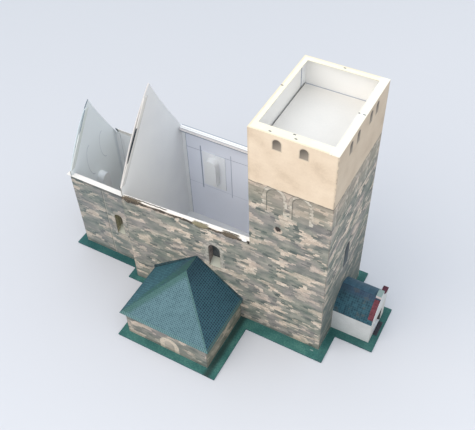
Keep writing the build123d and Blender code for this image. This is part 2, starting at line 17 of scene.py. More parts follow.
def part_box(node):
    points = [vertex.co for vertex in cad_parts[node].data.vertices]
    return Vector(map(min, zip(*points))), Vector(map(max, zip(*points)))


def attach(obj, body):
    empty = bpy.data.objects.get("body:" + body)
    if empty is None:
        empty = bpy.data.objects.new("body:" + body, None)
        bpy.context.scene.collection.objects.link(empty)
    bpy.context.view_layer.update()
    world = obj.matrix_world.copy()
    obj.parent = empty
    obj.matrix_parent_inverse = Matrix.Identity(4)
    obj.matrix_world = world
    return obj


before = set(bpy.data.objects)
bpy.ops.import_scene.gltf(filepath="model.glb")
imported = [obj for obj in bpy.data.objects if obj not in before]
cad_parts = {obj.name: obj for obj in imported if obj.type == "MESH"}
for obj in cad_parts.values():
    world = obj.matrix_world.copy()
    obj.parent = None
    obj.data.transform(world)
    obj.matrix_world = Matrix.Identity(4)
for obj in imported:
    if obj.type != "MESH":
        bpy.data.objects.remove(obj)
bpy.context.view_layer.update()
MM = 0.001


def in_mm(corners):
    """Both corners of a box, from metres to millimetres."""
    return [corner / MM for corner in corners]


# Places and sizes read from the frame
base_high = in_mm(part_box("base_card"))[1]
tower_low, tower_high = in_mm(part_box("tower_near_wall"))
tower_west_low, tower_west_high = in_mm(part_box("tower_west_wall"))
nave_low, nave_high = in_mm(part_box("nave_near_wall"))
chancel_low, chancel_high = in_mm(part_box("chancel_near_wall"))
chancel_far = in_mm(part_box("chancel_far_wall"))[1].y
sacristy_low, sacristy_high = in_mm(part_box("sacristy_near_wall"))
roof_low, roof_high = in_mm(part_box("sacristy_roof"))
porch_high = in_mm(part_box("porch_parapet"))[1]
porch_near = in_mm(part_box("porch_near_wall"))[0].y
porch_far = in_mm(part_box("porch_far_wall"))[1].y
nave_far_eave = in_mm(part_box("nave_far_wall"))[1].z
nave_far_flap_low = in_mm(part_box("nave_far_flap"))[0]
nave_gable = in_mm(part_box("nave_east_gable"))
nave_strip_foot = in_mm(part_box("nave_gable_flap"))[0].z
chancel_gable = in_mm(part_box("chancel_east_gable"))
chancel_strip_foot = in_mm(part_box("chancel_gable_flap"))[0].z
ground = base_high.z
near_face = tower_low.y
far_face = tower_west_high.y + (tower_west_low.y - near_face)
tower_top = tower_high.z
nave_splay = near_face - nave_low.y
torn_top = nave_high.z

# Ways that the printed side of a card faces
NEAR = (0, -1, 0)
FAR = (0, 1, 0)
WEST = (1, 0, 0)
EAST = (-1, 0, 0)

# Printed stone: courses, stones, and the ragged groups that the pale stones make
COURSE = 1.3
STONE = 3.4
GROUP_LENGTH = 15.5
GROUP_HEIGHT = 7.2
DARK_SHIFT = 3.6
SURROUND = 2.4
QUOIN_COURSE = 3

# Printed details of the tower: drops are heights below its top, the rest are sizes on the card
PLASTER_DROP = 44
OPENING_DROP = 10.6
OPENING_SIZE = (5.8, 8)
SLOT_DROP = 12.5
SLOT_SIZE = (4.5, 9.5)
ARCH_DROP = 67
ARCH_SIZE = (12.6, 22)
ARCH_BAND = 2.2
HOLE_DROP = 81.6
HOLE_RADIUS = 2.3
WEST_WINDOW_SIZE = (9, 25)
WEST_WINDOW_SILL = 65

# The tower and the nave are one printed card on the near side, so they share a seed
NEAR_SEED = 11

# Slates printed on the roofs, and the trim card of the window recesses
SLATE = 1.5
TRIM = 0.5

# Colours of bare card, of drawn lines, and of the painted shade in deep gaps
WHITE = (0.93, 0.93, 0.925)
WHITE_SHADE = (0.87, 0.87, 0.88)
PENCIL = (0.3, 0.33, 0.42)
GAP_SHADE = (0.02, 0.03, 0.04)

Opening = namedtuple("Opening", "middle sill width height")


def window_opening(box, axis):
    """The opening in front of a window's recess, from the recess's box. Axis 0 is X and 1 is Y."""
    low, high = box
    width = high[axis] - low[axis] - 2 * TRIM
    return Opening((low[axis] + high[axis]) / 2, low.z + TRIM, width, high.z - low.z - 2 * TRIM)


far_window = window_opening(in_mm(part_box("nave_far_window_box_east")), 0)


def connect(tree, value, slot):
    """Give a node's input a field, a colour or a number."""
    if isinstance(value, Field):
        tree.links.new(value.socket, slot)
    elif isinstance(value, tuple) and len(slot.default_value) == 4:
        slot.default_value = (*value, 1)
    else:
        slot.default_value = value


def calculate(tree, operation, *values):
    """One Math node, as a field."""
    node = tree.nodes.new("ShaderNodeMath")
    node.operation = operation
    for value, slot in zip(values, node.inputs):
        connect(tree, value, slot)
    return Field(tree, node.outputs[0])


def math_method(operation):
    """A method of fields that adds one Math node."""
    return lambda field, *others: calculate(field.tree, operation, field, *others)


class Field:
    """A value or colour that varies over a surface. Arithmetic with fields adds nodes to the material."""

    def __init__(self, tree, socket):
        self.tree = tree
        self.socket = socket

    __add__ = math_method("ADD")
    __sub__ = math_method("SUBTRACT")
    __mul__ = math_method("MULTIPLY")
    __truediv__ = math_method("DIVIDE")
    floor = math_method("FLOOR")
    fraction = math_method("FRACT")
    magnitude = math_method("ABSOLUTE")
    root = math_method("SQRT")
    most = math_method("MAXIMUM")
    least = math_method("MINIMUM")

    def __rsub__(self, other):
        return calculate(self.tree, "SUBTRACT", other, self)

    def above(self, edge, blur):
        """0 under the edge and 1 over it, with a soft step as wide as blur."""
        node = self.tree.nodes.new("ShaderNodeMapRange")
        node.interpolation_type = "SMOOTHSTEP"
        connect(self.tree, self - edge, node.inputs["Value"])
        node.inputs["From Min"].default_value = -blur / 2
        node.inputs["From Max"].default_value = blur / 2
        return Field(self.tree, node.outputs["Result"])

    def below(self, edge, blur):
        """1 under the edge and 0 over it."""
        return 1 - self.above(edge, blur)

    def near(self, middle, width, blur):
        """1 within half the width of the middle, such as along a drawn line."""
        return (self - middle).magnitude().below(width / 2, blur)

    def between(self, low, high, blur):
        """1 from low to high."""
        return self.above(low, blur) * self.below(high, blur)

    def tinted(self, colour, share):
        """This colour, turned into another where share is 1."""
        node = self.tree.nodes.new("ShaderNodeMix")
        node.data_type = "RGBA"
        connect(self.tree, share, node.inputs[0])
        connect(self.tree, self, node.inputs[6])
        connect(self.tree, colour, node.inputs[7])
        return Field(self.tree, node.outputs[2])

    def layered(self, *layers):
        """This colour with layers over it, the lowest first: each is a colour and its share."""
        return reduce(lambda under, layer: under.tinted(*layer), layers, self)


def any_of(shares):
    """1 where any of the shares is 1."""
    return reduce(Field.most, shares)


class Card:
    """A matt card material in the making, with each point's place and facing as fields."""

    def __init__(self, name):
        self.material = bpy.data.materials.new(name)
        self.material.use_nodes = True
        self.tree = self.material.node_tree
        self.shader = self.tree.nodes["Principled BSDF"]
        place = self.split(self.node("ShaderNodeTexCoord").outputs["Object"])
        self.x, self.y, self.z = [part / MM for part in place]
        facing = self.split(self.node("ShaderNodeNewGeometry").outputs["True Normal"])
        self.facing_x, self.facing_y, self.facing_z = facing

    def node(self, kind):
        return self.tree.nodes.new(kind)

    def split(self, socket):
        node = self.node("ShaderNodeSeparateXYZ")
        self.tree.links.new(socket, node.inputs[0])
        return [Field(self.tree, output) for output in node.outputs]

    def vector(self, x, y, z=0):
        node = self.node("ShaderNodeCombineXYZ")
        for value, slot in zip((x, y, z), node.inputs):
            connect(self.tree, value, slot)
        return Field(self.tree, node.outputs[0])

    def across(self, outward):
        """The place along a wall whose print faces outward."""
        return self.x if outward[0] == 0 else self.y

    def noise(self, x, y, z=0, detail=2):
        """Smooth noise from 0 to 1, about one unit of x, y and z to a lump."""
        node = self.node("ShaderNodeTexNoise")
        connect(self.tree, self.vector(x, y, z), node.inputs["Vector"])
        node.inputs["Scale"].default_value = 1
        node.inputs["Detail"].default_value = detail
        return Field(self.tree, node.outputs["Fac"])

    def mottle(self, size, detail=3):
        """Noise all through the card, in lumps of this size."""
        return self.noise(self.x / size, self.y / size, self.z / size, detail)

    def patches(self, across, length, height, seed, detail=2):
        """Noise over an upright card, in patches of this length and height."""
        return self.noise(across / length, self.z / height, seed, detail)

    def chance(self, x, y):
        """A random number from 0 to 1 for each pair of whole numbers x and y."""
        node = self.node("ShaderNodeTexWhiteNoise")
        node.noise_dimensions = "2D"
        connect(self.tree, self.vector(x, y), node.inputs["Vector"])
        return Field(self.tree, node.outputs["Value"])

    def ramp(self, value, *stops):
        """A colour for each value: stops are (value, colour), from low to high."""
        node = self.node("ShaderNodeValToRGB")
        connect(self.tree, value, node.inputs["Fac"])
        elements = node.color_ramp.elements
        while len(elements) < len(stops):
            elements.new(1)
        for element, (place, colour) in zip(elements, stops):
            element.position = place
            element.color = (*colour, 1)
        return Field(self.tree, node.outputs["Color"])

    def bare(self, pale=WHITE, shade=WHITE_SHADE):
        """Unprinted card: almost white, with faint cloudy greys."""
        value = self.mottle(22) * 0.7 + self.mottle(1.1, 2) * 0.3
        return self.ramp(value, (0.3, shade), (0.62, pale))

    def printed(self, outward):
        """1 on the printed side, which faces outward, and 0 on the back."""
        x, y, z = outward
        return (self.facing_x * x + self.facing_y * y + self.facing_z * z).above(0.5, 0.1)

    def back(self, outward):
        """1 on the back, where the printed side faces outward."""
        return self.printed([-part for part in outward])

    def finish(self, colour, roughness):
        """Join colour and roughness to the shader, with the card's fibre as its relief."""
        fibre = self.mottle(0.5)
        bump = self.node("ShaderNodeBump")
        bump.inputs["Strength"].default_value = 0.35
        bump.inputs["Distance"].default_value = 0.05 * MM
        connect(self.tree, fibre, bump.inputs["Height"])
        self.tree.links.new(bump.outputs["Normal"], self.shader.inputs["Normal"])
        connect(self.tree, colour, self.shader.inputs["Base Color"])
        connect(self.tree, fibre * 0.12 + roughness, self.shader.inputs["Roughness"])
        self.shader.inputs["Specular IOR Level"].default_value = 0.3

    def dress(self, *node_names):
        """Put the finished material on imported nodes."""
        for name in node_names:
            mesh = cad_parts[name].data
            mesh.materials.clear()
            mesh.materials.append(self.material)


def bare_card(name, *node_names, pale=WHITE, shade=WHITE_SHADE, marks=None):
    """Dress nodes in unprinted card. Marks is a function that gives the layers of any marks on it."""
    card = Card(name)
    colour = card.bare(pale, shade)
    if marks:
        colour = colour.layered(*marks(card))
    card.finish(colour, roughness=0.7)
    card.dress(*node_names)


def printed_skin(card, outward, top):
    """1 on a wall's print and round its ends and openings; 0 on its back and on edges above top."""
    cut_edge = card.facing_z.above(0.25, 0.1) * card.z.above(top, 0.1)
    return 1 - card.back(outward).most(cut_edge)


def from_corner(across, low, high):
    """How far a point is from the nearer of two corners."""
    return (across - low).least(high - across)


def stone_print(card, across, seed):
    """Rubble printed in thin courses: groups of pale stones with stepped ends, on mottled grey-green."""
    row = (card.z / COURSE).floor()
    shift = card.chance(row, seed) * STONE
    column = ((across + shift) / STONE).floor()
    stone_across = (column + 0.5) * STONE - shift
    stone_up = (row + 0.5) * COURSE
    luck = card.chance(column + seed, row)
    group = card.noise(stone_across / GROUP_LENGTH, stone_up / GROUP_HEIGHT, seed, 1)
    wear_and_shade = card.noise(stone_across / 9, stone_up / 5, seed + 2, 1)
    pale_share = (group + luck * 0.08).above(0.585, 0.05) * wear_and_shade.above(0.38, 0.25)
    beside_across = (stone_across + DARK_SHIFT) / GROUP_LENGTH
    beside = card.noise(beside_across, (stone_up - COURSE) / GROUP_HEIGHT, seed, 1)
    stroke = card.noise(stone_across / 6, stone_up / 2.2, seed + 7, 1)
    dark_share = (beside + luck * 0.07).above(0.545, 0.08) * (stroke + luck * 0.05).above(0.555, 0.06)
    soft = card.patches(across, 12, 5, seed + 5, 3)
    grain = card.patches(across, 0.9, 0.6, seed)
    edge_across = ((across + shift) / STONE).fraction() - 0.5
    edge_up = (card.z / COURSE).fraction() - 0.5
    joint = edge_up.magnitude().above(0.4, 0.14).most(edge_across.magnitude().above(0.45, 0.06))

    base = card.ramp(
        soft + luck * 0.08 + grain * 0.14, (0.4, (0.115, 0.138, 0.122)), (0.54, (0.215, 0.222, 0.19)),
        (0.68, (0.325, 0.31, 0.258)), (0.84, (0.44, 0.4, 0.335))
    )
    pale = card.ramp(
        luck * 0.5 + grain * 0.5, (0.2, (0.56, 0.445, 0.345)), (0.5, (0.7, 0.565, 0.445)),
        (0.8, (0.8, 0.68, 0.55))
    )
    dark_stroke = (0.085, 0.105, 0.095)
    base_joint = (0.12, 0.115, 0.095)
    pale_joint = (0.32, 0.265, 0.2)
    mauve = (0.32, 0.26, 0.26)
    moss = (0.17, 0.215, 0.165)
    return base.layered(
        (dark_stroke, dark_share * 0.88),
        (base_joint, joint * 0.16),
        (pale.tinted(pale_joint, joint * 0.45), pale_share),
        (mauve, card.patches(across, 26, 17, seed).above(0.54, 0.16) * 0.34),
        (moss, card.patches(across, 24, 18, seed + 9).above(0.53, 0.16) * 0.26)
    )


def outside_arch(card, across, opening):
    """How far a point is outside a round-headed outline; below 0 inside it."""
    rise = (card.z - (opening.sill + opening.height - opening.width / 2)).most(0)
    side = across - opening.middle
    head = (side * side + rise * rise).root() - opening.width / 2
    return head.most(opening.sill - card.z)


def pale_stones(card, across, seed):
    """Dressed stone: pale blocks that differ a little."""
    luck = card.chance((card.z / QUOIN_COURSE).floor(), seed)
    grain = card.patches(across, 1.2, 1.2, seed, 3)
    joint = 1 - (card.z / QUOIN_COURSE).fraction().near(0.5, 0.82, 0.1)
    colour = card.ramp(
        luck * 0.6 + grain * 0.4, (0.2, (0.38, 0.34, 0.28)), (0.5, (0.54, 0.49, 0.41)),
        (0.8, (0.66, 0.6, 0.51))
    )
    return colour.tinted((0.24, 0.21, 0.18), joint * 0.6)


def alternate_courses(card):
    """0 and 1 by turns, from one course of dressed stone to the next."""
    return ((card.z / QUOIN_COURSE).floor() * 0.5).fraction() * 2


def quoins(card, across, low, high, seed):
    """Faint long and short pale stones up both corners of a wall."""
    reach = alternate_courses(card) * 2.6 + 2.6
    quoin = (reach - from_corner(across, low, high)).above(0, 0.3)
    kept = card.patches(across, 30, 14, seed).above(0.5, 0.1)
    yield pale_stones(card, across, seed), quoin * kept * 0.12


def stone_surround(card, across, opening, seed):
    """Pale dressed stones round an opening."""
    reach = alternate_courses(card) * 1.2 + SURROUND
    above_sill = card.z.above(opening.sill - 1.5, 0.3)
    band = (reach - outside_arch(card, across, opening)).above(0, 0.3) * above_sill
    grain = card.patches(across, 3, 3, seed + 4).above(0.42, 0.3)
    yield pale_stones(card, across, seed), band * grain * 0.6


def printed_opening(card, across, opening, dark, pale):
    """A printed opening: dark at its head and side, paler towards its sill."""
    distance = outside_arch(card, across, opening)
    fall = (card.z - opening.sill) / opening.height + (opening.middle - across) / opening.width * 0.5
    fill = card.ramp(fall, (0, pale), (0.9, dark))
    yield (0.46, 0.37, 0.28), distance.near(0.3, 0.7, 0.5) * 0.35
    yield fill, distance.below(0, 0.4)


def blind_arch(card, across, middle, seed, strength):
    """A blind arch that is open at its foot: pale arch stones and jambs, and a shadow along one side."""
    sill = tower_top - ARCH_DROP
    distance = outside_arch(card, across, Opening(middle, sill, *ARCH_SIZE))
    lit_side = outside_arch(card, across, Opening(middle + 0.8, sill - 0.6, *ARCH_SIZE))
    block = card.chance((across / 1.9).floor(), (card.z / 1.6).floor() + seed)
    stones = card.ramp(
        block * 0.6 + card.patches(across, 0.9, 0.9, seed) * 0.4, (0.25, (0.33, 0.29, 0.23)),
        (0.55, (0.58, 0.5, 0.4)), (0.8, (0.7, 0.64, 0.53))
    )
    inside = distance.below(0, 0.3)
    ragged = (block - 0.5) * 1.8 + ARCH_BAND
    band = (ragged - distance).above(0, 0.3) * (1 - inside) * card.z.above(sill, 0.5)
    uneven = card.noise(card.z / 5, seed, detail=1) * 0.5 + 0.5
    rim = distance.near(ARCH_BAND, 0.6, 0.4) * (card.z - sill).above(ARCH_SIZE[1] * 0.7, 3)
    filling = (0.3, 0.275, 0.22)
    shade = (0.1, 0.1, 0.08)
    outline = (0.14, 0.13, 0.11)
    yield stones, band * 0.85 * strength
    yield filling, inside * 0.4
    yield shade, inside * lit_side.above(0, 0.4) * uneven * 0.8
    yield outline, rim * 0.5 * strength


def fold_wear(card, across, low, high):
    """A thin broken brown line along the folded corners of the card."""
    wear_and_shade = card.noise(across / 2, card.y / 2, card.z / 5, 3).above(0.5, 0.15)
    fold = from_corner(across, low, high).below(0.5, 0.4)
    yield (0.17, 0.13, 0.1), fold * wear_and_shade * 0.45


def plaster_band(card, across, sides, grey):
    """The warm plaster round the tower's top, with cloudy stains, a dark line at its foot, and painted
    shade at its folded corners and on the sides where grey is above 0.
    """
    seed = 1
    wobble = card.noise(across / 7, 0, seed) * 1.6
    over_line = card.z + wobble - (tower_top - PLASTER_DROP + 0.8)
    cloud = card.patches(across, 19, 15, seed, 2.5)
    speck = card.patches(across, 1.5, 1.5, seed)
    broken = card.noise(across / 5, seed + 3).above(0.42, 0.15)
    plaster = card.ramp(
        cloud * 0.8 + speck * 0.2, (0.28, (0.68, 0.515, 0.36)), (0.46, (0.81, 0.635, 0.46)),
        (0.66, (0.89, 0.715, 0.53))
    )
    fold_shade = (0.55, 0.44, 0.32)
    side_shade = (0.3, 0.25, 0.19)
    foot_line = (0.13, 0.12, 0.1)
    # Painted shade along the folded corners of the plaster
    wear_and_shade = from_corner(across, *sides).below(0.9, 1.4) * 0.45
    # The side colour, at share grey, is painted shade on the tower's west and east sides
    yield plaster.layered((fold_shade, wear_and_shade), (side_shade, grey)), over_line.above(0, 0.3)
    yield foot_line, over_line.near(-0.3, 0.8, 0.4) * broken * 0.8


def putlog_hole(card, across, middle):
    """A ragged dark hole, with pale broken stone round it and under it."""
    side = across - middle
    rise = card.z - (tower_top - HOLE_DROP)
    ragged = (card.patches(across, 1.2, 1.2, 2) - 0.5) * 2.4
    distance = (side * side + rise * rise).root() + ragged
    lower = (side * side + (rise + 1.6) * (rise + 1.6)).root() + ragged
    broken_stone = (0.7, 0.55, 0.43)
    hollow = (0.045, 0.035, 0.03)
    yield broken_stone, lower.below(HOLE_RADIUS * 1.35, 0.8) * 0.8
    yield hollow, distance.below(HOLE_RADIUS, 0.6)


def tower_details(card, across, tower_print, west_window=None, hole=None):
    """What is printed on one side of the tower: arches, window, hole, plaster and openings."""
    yield (0.62, 0.47, 0.34), card.z.above(tower_top - PLASTER_DROP - 12, 30) * 0.4
    for i, middle in enumerate(tower_print["arches"]):
        yield from blind_arch(card, across, middle, 3 + i, tower_print["arch_strength"])
    if west_window is not None:
        window = Opening(west_window, WEST_WINDOW_SILL, *WEST_WINDOW_SIZE)
        yield from stone_surround(card, across, window, 6)
        yield from printed_opening(card, across, window, (0.035, 0.04, 0.045), (0.09, 0.1, 0.11))
    if hole is not None:
        yield from putlog_hole(card, across, hole)
    yield from plaster_band(card, across, tower_print["sides"], tower_print["grey"])
    for middle in tower_print["openings"]:
        slot = Opening(middle, tower_top - tower_print["slot_drop"], *tower_print["slot_size"])
        yield from printed_opening(card, across, slot, (0.14, 0.115, 0.09), (0.36, 0.3, 0.235))


def wall_card(node_name, outward, low, high, seed, top, details=(), inside=None):
    """Dress a wall: printed stone and its details outside, bare card behind and on cut edges.

    Low and high are the print's corners. Details and inside are functions that give the layers of
    what is printed outside and marked inside.
    """
    card = Card(node_name + "_print")
    across = card.across(outward)
    layers = list(quoins(card, across, low, high, seed))
    for detail in details:
        layers += detail(card, across)
    layers += fold_wear(card, across, low, high)
    # Painted shade along the wall's foot, where it stands on the base card
    layers.append(((0.08, 0.09, 0.07), card.z.below(ground + 2.5, 4) * 0.35))
    colour = stone_print(card, across, seed).layered(*layers)
    back = card.bare()
    if inside:
        back = back.layered(*inside(card))
    card.finish(back.tinted(colour, printed_skin(card, outward, top)), roughness=0.66)
    card.dress(node_name)


def add_object(name, data):
    """A new object in the scene."""
    thing = bpy.data.objects.new(name, data)
    bpy.context.scene.collection.objects.link(thing)
    return thing


def make_floor():
    """A plain pale floor with a broad painted shade, so it is a little paler towards the near side and the
    tower.
    """
    size = 3
    corners = [(-size, -size, 0), (size, -size, 0), (size, size, 0), (-size, size, 0)]
    mesh = bpy.data.meshes.new("floor")
    mesh.from_pydata(corners, [], [(0, 1, 2, 3)])
    floor = add_object("floor", mesh)
    card = Card("floor_paper")
    cloud = card.noise(card.x / 500, card.y / 500, detail=1) * 0.1
    # Painted shade: darker towards the far side and the chancel's end
    nearness = (card.x - card.y * 1.2) / 2500 + 0.45 + cloud
    colour = card.ramp(
        nearness, (0.1, (0.53, 0.53, 0.545)), (0.5, (0.625, 0.615, 0.63)), (0.72, (0.7, 0.69, 0.7))
    )
    card.finish(colour, roughness=0.75)
    mesh.materials.append(card.material)


def make_light():
    """A wide soft light from the near side and the chancel's end, and an even pale surround."""
    world = bpy.data.worlds.new("surround")
    world.use_nodes = True
    tree = world.node_tree
    background = tree.nodes["Background"]
    background.inputs["Color"].default_value = (0.83, 0.91, 1, 1)
    direction = tree.nodes.new("ShaderNodeSeparateXYZ")
    tree.links.new(tree.nodes.new("ShaderNodeTexCoord").outputs["Generated"], direction.inputs[0])
    height = Field(tree, direction.outputs["Z"])
    seen = Field(tree, tree.nodes.new("ShaderNodeLightPath").outputs["Is Camera Ray"])
    glow = height.above(0.45, 1.1) * 0.78 + 0.68
    connect(tree, glow * (1 - seen) + seen * 0.95, background.inputs["Strength"])
    bpy.context.scene.world = world
    sun = bpy.data.lights.new("window_light", "SUN")
    sun.energy = 1.1
    sun.angle = math.radians(60)
    sun.color = (1, 0.9, 0.79)
    lamp = add_object("window_light", sun)
    towards_object = Vector((0.42, 0.62, -0.66))
    lamp.rotation_mode = "QUATERNION"
    lamp.rotation_quaternion = towards_object.to_track_quat("-Z", "Y")


def make_camera():
    """The camera that took the photo, worked out from the corners of the base card and the tower."""
    photo_width = 475
    focal_pixels = 704.41
    place = Vector((0.197277, -0.297016, 0.482780))
    forward = Vector((-0.3413217, 0.5820199, -0.7380734)).normalized()
    right = Vector((0.8763252, 0.4810211, -0.0259391)).normalized()
    up = right.cross(forward)
    data = bpy.data.cameras.new("photo_camera")
    data.sensor_width = 36
    data.lens = focal_pixels / photo_width * data.sensor_width
    data.clip_start = 0.01
    data.clip_end = 20
    camera = add_object("photo_camera", data)
    camera.matrix_world = Matrix((
        (right.x, up.x, -forward.x, place.x),
        (right.y, up.y, -forward.y, place.y),
        (right.z, up.z, -forward.z, place.z),
        (0, 0, 0, 1),
    ))
    bpy.context.scene.camera = camera


def slate_print(card, across, up, tones, line_share, size, seed):
    """Small slates in rows and columns, and a fine lattice of printed lines.

    Tones are the colours of the darkest and the palest slates, and of the lines.
    """
    dark, pale, line = tones
    luck = card.chance((across / size).floor() + seed, (up / size).floor())
    cloud = card.noise(across / 9, up / 9, seed, 3)
    colour = card.ramp(luck * 0.5 + cloud * 0.5, (0.25, dark), (0.75, pale))
    edges = [((part / size).fraction() - 0.5).magnitude().above(0.36, 0.16) for part in (across, up)]
    return colour.tinted(line, any_of(edges) * line_share)


def sacristy_roof_card():
    """Slates on three slopes, each in its own shade, with mossy hips and eaves; the west eave's moss is
    painted paler, as if lit.
    """
    card = Card("sacristy_slates")
    middle = (sacristy_low.x + sacristy_high.x) / 2
    foot = roof_low.z
    share = (card.z - foot) / (roof_high.z - foot)
    mottle = card.mottle(2.2)
    side_eave = card.z.below(foot + 1.6, 0.8)
    moss = (0.03, 0.105, 0.075)

    left = card.x - (share * (middle - roof_low.x) + roof_low.x)
    right = (share * (middle - roof_high.x) + roof_high.x) - card.x
    ticks = (card.x / 1.6).fraction().above(0.5, 0.2)
    band = card.z.below(foot + 1.9, 0.3)
    hip_line = (0.13, 0.24, 0.24)
    pale_tick = (0.17, 0.28, 0.29)
    dark_tick = (0.055, 0.135, 0.12)
    near_tones = (0.028, 0.078, 0.095), (0.076, 0.152, 0.172), (0.155, 0.262, 0.285)
    near = slate_print(card, card.x, card.z * 1.44, near_tones, 0.8, SLATE, 1).layered(
        (moss, (left + mottle * 4).below(7.5, 5) * 0.62),
        (moss, right.below(1.6, 1.6) * 0.5),
        (hip_line, right.near(0, 0.7, 0.4) * 0.6),
        (pale_tick, band * ticks * 0.5),
        (dark_tick, band * (1 - ticks) * 0.7)
    )

    stripe = (card.y / 2.1).fraction().near(0.5, 0.42, 0.3)
    hip = (card.y - roof_low.y) / (roof_high.y - roof_low.y)
    dark_stripe = (0.008, 0.04, 0.058)
    ridge_blue = (0.04, 0.055, 0.085)
    eave_teal = (0.02, 0.075, 0.09)
    east_tones = (0.03, 0.105, 0.13), (0.075, 0.2, 0.235), (0.02, 0.07, 0.085)
    east = slate_print(card, card.y, card.z * 1.5, east_tones, 0.3, SLATE, 2).layered(
        (dark_stripe, stripe * 0.8),
        (ridge_blue, share.above(0.72, 0.4) * 0.5),
        (moss, (hip - share).below(0.02, 0.12) * mottle.above(0.42, 0.2) * 0.7),
        (eave_teal, side_eave * 0.7)
    )

    # Moss along the west eave, painted paler as a lit edge
    lit_eave_moss = (0.085, 0.135, 0.105)
    ridge_shade = (0.012, 0.03, 0.045)
    west_tones = (0.014, 0.026, 0.05), (0.03, 0.056, 0.088), (0.06, 0.2, 0.22)
    west = slate_print(card, card.y, card.z * 1.46, west_tones, 0.6, 1.3 * SLATE, 3).layered(
        (lit_eave_moss, side_eave * 0.6), (ridge_shade, share.above(0.8, 0.3) * 0.45)
    )
    colour = card.bare().layered(
        (near, card.printed((0, -1, 0.4))),
        (east, card.printed((-1, 0, 0.3))),
        (west, card.printed((1, 0, 0.3)))
    )
    card.finish(colour, roughness=0.55)
    card.dress("sacristy_roof")


def roof_flap_card():
    """The roof's glue flap on the nave's wall, in cloudy dark slate print, made darker as painted shade in
    the gap behind it.
    """
    card = Card("roof_flap_print_and_shade")
    cloud = card.noise(card.x / 3, card.z / 3, detail=3)
    # Dark slate print, darkened further as painted shade
    colour = card.ramp(cloud, (0.35, (0.02, 0.045, 0.055)), (0.65, (0.06, 0.105, 0.11)))
    card.finish(colour, roughness=0.6)
    card.dress("sacristy_roof_flap")


def porch_roof_card():
    """Dark teal slates with a fine lattice, bluer on the far slope and along the ridge."""
    card = Card("porch_slates")
    up = card.z * 1.4
    size = 1.2 * SLATE
    from_ridge = (porch_near + porch_far) / 2 - card.y
    by_tower = (card.x - tower_high.x).below(7, 8) * from_ridge.below(9, 8)
    near_tones = (0.01, 0.04, 0.06), (0.03, 0.095, 0.125), (0.05, 0.16, 0.195)
    far_tones = (0.026, 0.078, 0.112), (0.046, 0.112, 0.158), (0.03, 0.065, 0.1)
    ridge_blue = (0.045, 0.065, 0.115)
    rust = (0.1, 0.09, 0.07)
    tower_shade = (0.012, 0.035, 0.042)
    near = slate_print(card, card.x, up, near_tones, 0.35, size, 4).layered(
        (ridge_blue, from_ridge.below(5, 5) * 0.6),
        (rust, card.mottle(5).above(0.6, 0.1) * 0.35),
        (tower_shade, by_tower * 0.5)
    )
    far = slate_print(card, card.x, up, far_tones, 0.4, size, 5)
    colour = card.bare().layered(
        (near, card.printed((0, -0.9, 0.6))), (far, card.printed((0, 0.9, 0.6)))
    )
    card.finish(colour, roughness=0.5)
    card.dress("porch_roof")


def splayed_face(x):
    """Y of the outer face of the nave's near wall at x, which is a number or a field."""
    return near_face - (tower_low.x - x) * (nave_splay / (tower_low.x - nave_low.x))


def under_walls(card):
    """1 on the unprinted part of the base card: under the walls, and between them."""
    footprints = (
        (nave_low.x, tower_high.x, near_face, far_face),
        (chancel_low.x, nave_low.x, chancel_low.y, chancel_far),
        (sacristy_low.x, sacristy_high.x, sacristy_low.y, near_face),
        (tower_high.x, porch_high.x, porch_near, porch_far),
    )
    blur = 0.2
    splayed = (card.y - splayed_face(card.x)).above(0, blur) * card.y.below(near_face, blur)
    covered = [splayed * card.x.between(nave_low.x, tower_low.x, blur)]
    for east, west, near, far in footprints:
        covered.append(card.x.between(east, west, blur) * card.y.between(near, far, blur))
    return any_of(covered)


def grass_card():
    """Green print round the walls, bluer and darker on the base card's cut edges."""
    card = Card("printed_grass")
    blade = card.noise(card.x / 1.3, card.y / 1.3, detail=4)
    cloud = card.noise(card.x / 16, card.y / 16)
    grass = card.ramp(
        blade * 0.5 + cloud * 0.5, (0.3, (0.02, 0.088, 0.078)), (0.5, (0.044, 0.152, 0.132)),
        (0.7, (0.1, 0.245, 0.2))
    )
    scuff_x = card.x - (tower_high.x - 4.5)
    scuff_y = card.y - (near_face - 3)
    scuff = (scuff_x * scuff_x * 0.2 + scuff_y * scuff_y).root() + (blade - 0.5) * 1.6
    by_sacristy = card.x.between(sacristy_high.x, sacristy_high.x + 5, 4) * card.y.below(near_face, 1)
    by_wall = (near_face - card.y).between(0, 2, 2) * card.x.above(sacristy_high.x, 1)
    cut_edge = (0.015, 0.08, 0.09)
    scuffed = (0.42, 0.48, 0.44)
    sacristy_shade = (0.018, 0.026, 0.024)
    porch_tone = (0.012, 0.06, 0.062)
    chancel_tone = (0.01, 0.07, 0.082)
    wall_shade = (0.03, 0.035, 0.03)
    colour = grass.layered(
        (cut_edge, card.facing_z.below(0.5, 0.1) * 0.8),
        (scuffed, scuff.below(0.5, 0.5) * 0.7),
        (sacristy_shade, by_sacristy * 0.72),
        (porch_tone, card.x.above(tower_high.x + 1, 4) * 0.42),
        (chancel_tone, card.x.below(nave_low.x, 6) * 0.45),
        (wall_shade, by_wall * 0.15),
        (card.bare(), under_walls(card).most(card.facing_z.below(-0.5, 0.1)))
    )
    card.finish(colour, roughness=0.72)
    card.dress("base_card")


def tile_card(node_name, dark, pale):
    """Dress a node in cloudy print with faint cross lines, as small tiles laid along a coping."""
    card = Card(node_name + "_print")
    gap = 1 - (card.y / 2.2).fraction().near(0.5, 0.85, 0.1)
    colour = card.ramp(card.mottle(2), (0.3, dark), (0.65, pale))
    card.finish(colour.tinted((0.1, 0.02, 0.02), gap * 0.5), roughness=0.6)
    card.dress(node_name)


def scaled(colour, factor):
    """A colour made paler or darker by a factor."""
    return tuple(factor * part for part in colour)


